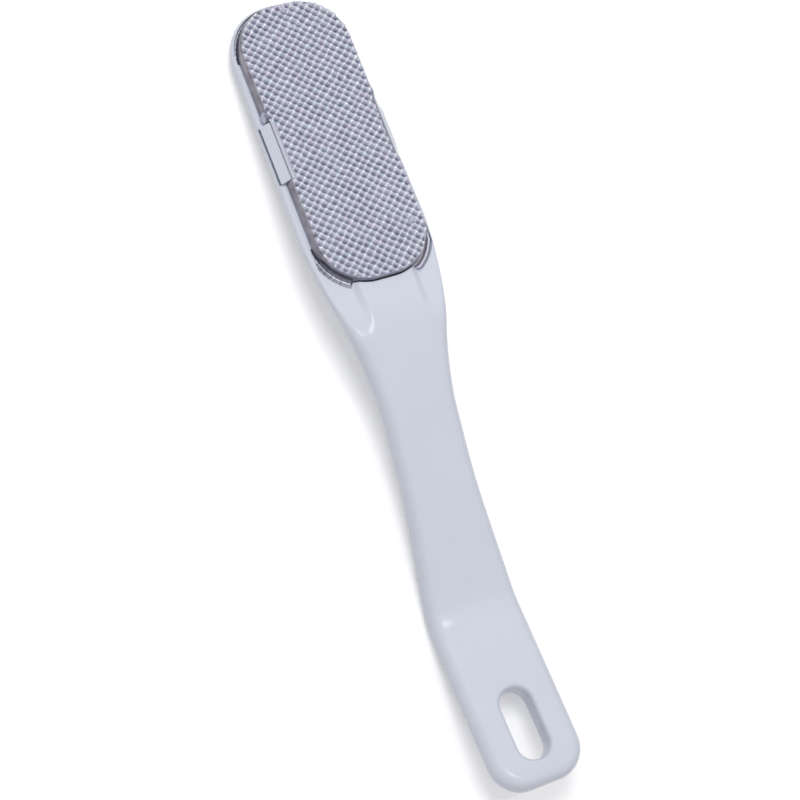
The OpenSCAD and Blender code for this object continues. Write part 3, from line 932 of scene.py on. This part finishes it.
PLASTIC_STOPS = ((0.3, (0.635, 0.674, 0.762)), (0.7, (0.660, 0.700, 0.788)))
PLASTIC_ROUGHNESS = (0.17, 0.23)
PLASTIC_IOR = 1.49
PLASTIC_CLOUDS = {"scale": 45.0, "detail": 4.0}
GRAIN = {"scale": 2600.0, "detail": 2.0}
GRAIN_H = 0.04
GRAIN_STRENGTH = 0.06
MARK_GAP = 15.1
MARK_S = BEND_END_S + MARK_GAP
MARK_R = 2.1
MARK_LINE = 0.3
MARK_H = 0.08
MARK_STRENGTH = 0.4


def mark_groove(add, place):
    """0 on the line of the ring mark and 1 away from it."""
    middle = rest_pose(handle_point(0.0, MARK_S, HANDLE_T / 2 + CROWN_H)[None])[0] * MM
    away = add("ShaderNodeVectorMath", {0: place, 1: Vector(middle)}, operation="DISTANCE").outputs["Value"]
    off = maths(add, "ABSOLUTE", maths(add, "SUBTRACT", away, MARK_R * MM))
    return add("ShaderNodeMapRange", {"Value": off, "From Min": 0.0, "From Max": MARK_LINE * MM},
               interpolation_type="SMOOTHSTEP").outputs["Result"]


def plastic():
    """Pale blue plastic, nearly even, with a fine grain."""
    made, shader, add = material("moulded_plastic")
    place = add("ShaderNodeTexCoord").outputs["Object"]
    clouds = noise(add, place, **PLASTIC_CLOUDS)
    grain = noise(add, place, **GRAIN)
    soft = add("ShaderNodeBump", {"Height": grain, "Strength": GRAIN_STRENGTH, "Distance": GRAIN_H * MM})
    marked = add("ShaderNodeBump", {"Height": mark_groove(add, place), "Strength": MARK_STRENGTH,
                                    "Distance": MARK_H * MM, "Normal": soft.outputs["Normal"]})
    feed(shader, {"Base Color": ramp(add, clouds, PLASTIC_STOPS),
                  "Roughness": between(add, clouds, *PLASTIC_ROUGHNESS),
                  "IOR": PLASTIC_IOR, "Normal": marked.outputs["Normal"]})
    return made


# Steel: teeth with painted highlights over pits with painted shade, tinted in spots, and streaked walls with
# painted shade

# Colours from the tone: dark for the painted shade of the pits, bright for the painted highlights on the tips
TOOTH_STOPS = ((0.1, (0.20, 0.20, 0.27)), (0.3, (0.36, 0.37, 0.46)), (0.6, (0.57, 0.59, 0.70)),
               (0.95, (0.785, 0.80, 0.89)))
TINT_STOPS = ((0.36, (1.0, 0.94, 0.965)), (0.5, (0.98, 0.98, 1.0)), (0.64, (0.94, 1.0, 0.98)))
# Painted shade on the walls: a darker copy of the steel with random streaks, darkest at the top of the wall
# and full at its foot
STREAKED_WALL_SHADE_STOPS = ((0.35, (0.30, 0.28, 0.33)), (0.65, (0.48, 0.46, 0.51)))
CLOUD_SHARE = 0.25
WALL_TOP_SHADE_LEVEL = 0.5
STEEL_ROUGHNESS = (0.2, 0.3)
STEEL_CLOUDS = {"scale": 220.0, "detail": 3.0}
TINT_SPOTS = {"scale": 700.0, "detail": 2.0}
SCRATCHES = {"scale": 1800.0, "detail": 3.0}
SCRATCH_H = 0.04
SCRATCH_STRENGTH = 0.4


def steel():
    """Plated steel, whose brightness follows the attributes tone and wall, which paint shade and highlights
    onto it.
    """
    made, shader, add = material("plated_steel")
    place = add("ShaderNodeTexCoord").outputs["Object"]
    tone, wall = [add("ShaderNodeAttribute", attribute_name=name).outputs["Fac"] for name in ("tone", "wall")]
    clouds = noise(add, place, **STEEL_CLOUDS)
    spots = noise(add, place, **TINT_SPOTS)
    fine = noise(add, place, **SCRATCHES)
    toothed = ramp(add, maths(add, "MULTIPLY_ADD", clouds, CLOUD_SHARE, tone), TOOTH_STOPS)
    tinted = add("ShaderNodeMix", {"Factor": 1.0, "A": toothed, "B": ramp(add, spots, TINT_STOPS)},
                 data_type="RGBA", blend_type="MULTIPLY").outputs["Result"]
    shaded = add("ShaderNodeVectorMath", {0: ramp(add, clouds, STREAKED_WALL_SHADE_STOPS),
                                          "Scale": between(add, tone, WALL_TOP_SHADE_LEVEL, 1.0)},
                 operation="SCALE").outputs["Vector"]
    walled = add("ShaderNodeMix", {"Factor": wall, "A": tinted, "B": shaded}, data_type="RGBA")
    bump = add("ShaderNodeBump", {"Height": fine, "Strength": SCRATCH_STRENGTH, "Distance": SCRATCH_H * MM})
    feed(shader, {"Base Color": walled.outputs["Result"], "Metallic": 1.0,
                  "Roughness": between(add, clouds, *STEEL_ROUGHNESS), "Normal": bump.outputs["Normal"]})
    return made


# Floor and sky: the camera and mirrored rays see them paler than they light the object

FLOOR_HALF = 4000.0
FLOOR_COLOUR = 0.9
FLOOR_BOUNCE = 0.85
FLOOR_GLOW = 0.26
FLOOR_ROUGHNESS = 0.9
SKY_COLOUR = (0.975, 0.96, 0.985)
HORIZON_LEVEL = 0.24
ZENITH_LEVEL = 0.705
HORIZON_SHINE = 0.5
ZENITH_SHINE = 1.0


def build_floor():
    """A pale floor that takes the shadow and glows a little where it is seen."""
    half = FLOOR_HALF * MM
    corners = [(x * half, y * half, 0) for x, y in ((-1, -1), (1, -1), (1, 1), (-1, 1))]
    mesh = bpy.data.meshes.new("floor")
    mesh.from_pydata(corners, [], [(0, 1, 2, 3)])
    floor = place_object("floor", mesh)
    made, shader, add = material("pale_floor")
    seen = add("ShaderNodeLightPath").outputs
    shown = maths(add, "MAXIMUM", seen["Is Camera Ray"], seen["Is Glossy Ray"])
    glow = maths(add, "MULTIPLY", shown, FLOOR_GLOW)
    feed(shader, {"Base Color": between(add, seen["Is Camera Ray"], FLOOR_BOUNCE, FLOOR_COLOUR),
                  "Roughness": FLOOR_ROUGHNESS, "Specular IOR Level": 0.0,
                  "Emission Color": (1, 1, 1, 1), "Emission Strength": glow})
    floor.data.materials.append(made)


def build_world():
    """A sky that is brighter overhead, and plain white where the camera sees it."""
    world = bpy.data.worlds.new("studio")
    bpy.context.scene.world = world
    world.use_nodes = True
    nodes, add = world.node_tree.nodes, node_maker(world.node_tree)
    height = add("ShaderNodeSeparateXYZ", {0: add("ShaderNodeTexCoord").outputs["Generated"]}).outputs["Z"]
    seen = add("ShaderNodeLightPath").outputs
    feed(nodes["Background"], {"Color": (*SKY_COLOUR, 1),
                               "Strength": between(add, height, HORIZON_LEVEL, ZENITH_LEVEL)})
    shine = maths(add, "MAXIMUM", between(add, height, HORIZON_SHINE, ZENITH_SHINE), seen["Is Camera Ray"])
    white = add("ShaderNodeBackground", {"Color": (1, 1, 1, 1), "Strength": shine})
    shown = maths(add, "MAXIMUM", seen["Is Camera Ray"], seen["Is Glossy Ray"])
    blend = add("ShaderNodeMixShader", {0: shown, 1: nodes["Background"].outputs[0], 2: white.outputs[0]})
    feed(nodes["World Output"], {"Surface": blend.outputs[0]})


# Camera: its axis meets the table at VIEW_AIM, and heading is measured from X on the table

VIEW_AIM = np.array([0.7, -2.3, 0.0])
VIEW_DISTANCE = 595.7
VIEW_HEADING = math.radians(7.027)
VIEW_ELEVATION = math.radians(67.939)
VIEW_ROLL = math.radians(65.427)
VIEW_LENS = 89.08
VIEW_NEAR = 10.0


def build_camera():
    """The camera that sees the object as the photograph does."""
    level_run = math.cos(VIEW_ELEVATION)
    forward = np.array([level_run * math.cos(VIEW_HEADING), level_run * math.sin(VIEW_HEADING),
                        -math.sin(VIEW_ELEVATION)])
    level = np.array([math.sin(VIEW_HEADING), -math.cos(VIEW_HEADING), 0])
    above = np.cross(level, forward)
    right = math.cos(VIEW_ROLL) * level + math.sin(VIEW_ROLL) * above
    up = math.cos(VIEW_ROLL) * above - math.sin(VIEW_ROLL) * level
    data = bpy.data.cameras.new("camera")
    data.lens = VIEW_LENS
    data.clip_start = VIEW_NEAR * MM
    camera = place_object("camera", data)
    turn = Matrix(np.column_stack([right, up, -forward]).tolist()).to_4x4()
    place = (VIEW_AIM - forward * VIEW_DISTANCE) * MM
    camera.matrix_world = Matrix.Translation(Vector(place)) @ turn
    bpy.context.scene.camera = camera


# Lamps

LAMP_DISTANCE = 1200.0


def area_lamp(name, towards, size_x, size_y, watts):
    """A rectangular lamp that faces the middle of the object."""
    data = bpy.data.lights.new(name, "AREA")
    data.shape = "RECTANGLE"
    data.size = size_x * MM
    data.size_y = size_y * MM
    data.energy = watts
    lamp = place_object(name, data)
    direction = Vector(towards).normalized()
    lamp.location = direction * LAMP_DISTANCE * MM
    lamp.rotation_euler = Vector((0, 0, 1)).rotation_difference(direction).to_euler()
    return lamp


def build_lights():
    """A soft box that casts the shadow, and a strip overhead that makes the glints."""
    soft_box = area_lamp("soft_box", towards=(-0.13, 0.42, 0.9), size_x=400.0, size_y=400.0, watts=5.35)
    soft_box.visible_glossy = False
    area_lamp("glint", towards=(0.08, 0.05, 1.0), size_x=350.0, size_y=80.0, watts=1.2)


def finish_with(piece, node, made):
    """Gives a piece its material, attaches it to the root body and hides the CAD node that it stands for."""
    piece.data.materials.clear()
    piece.data.materials.append(made)
    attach(piece, "root")
    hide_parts(node)


bpy.context.scene.view_settings.view_transform = "Standard"
build_floor()
build_world()
build_camera()
build_lights()
finish_with(build_handle(), "handle", plastic())
finish_with(build_pan(), "rasp_pan", steel())
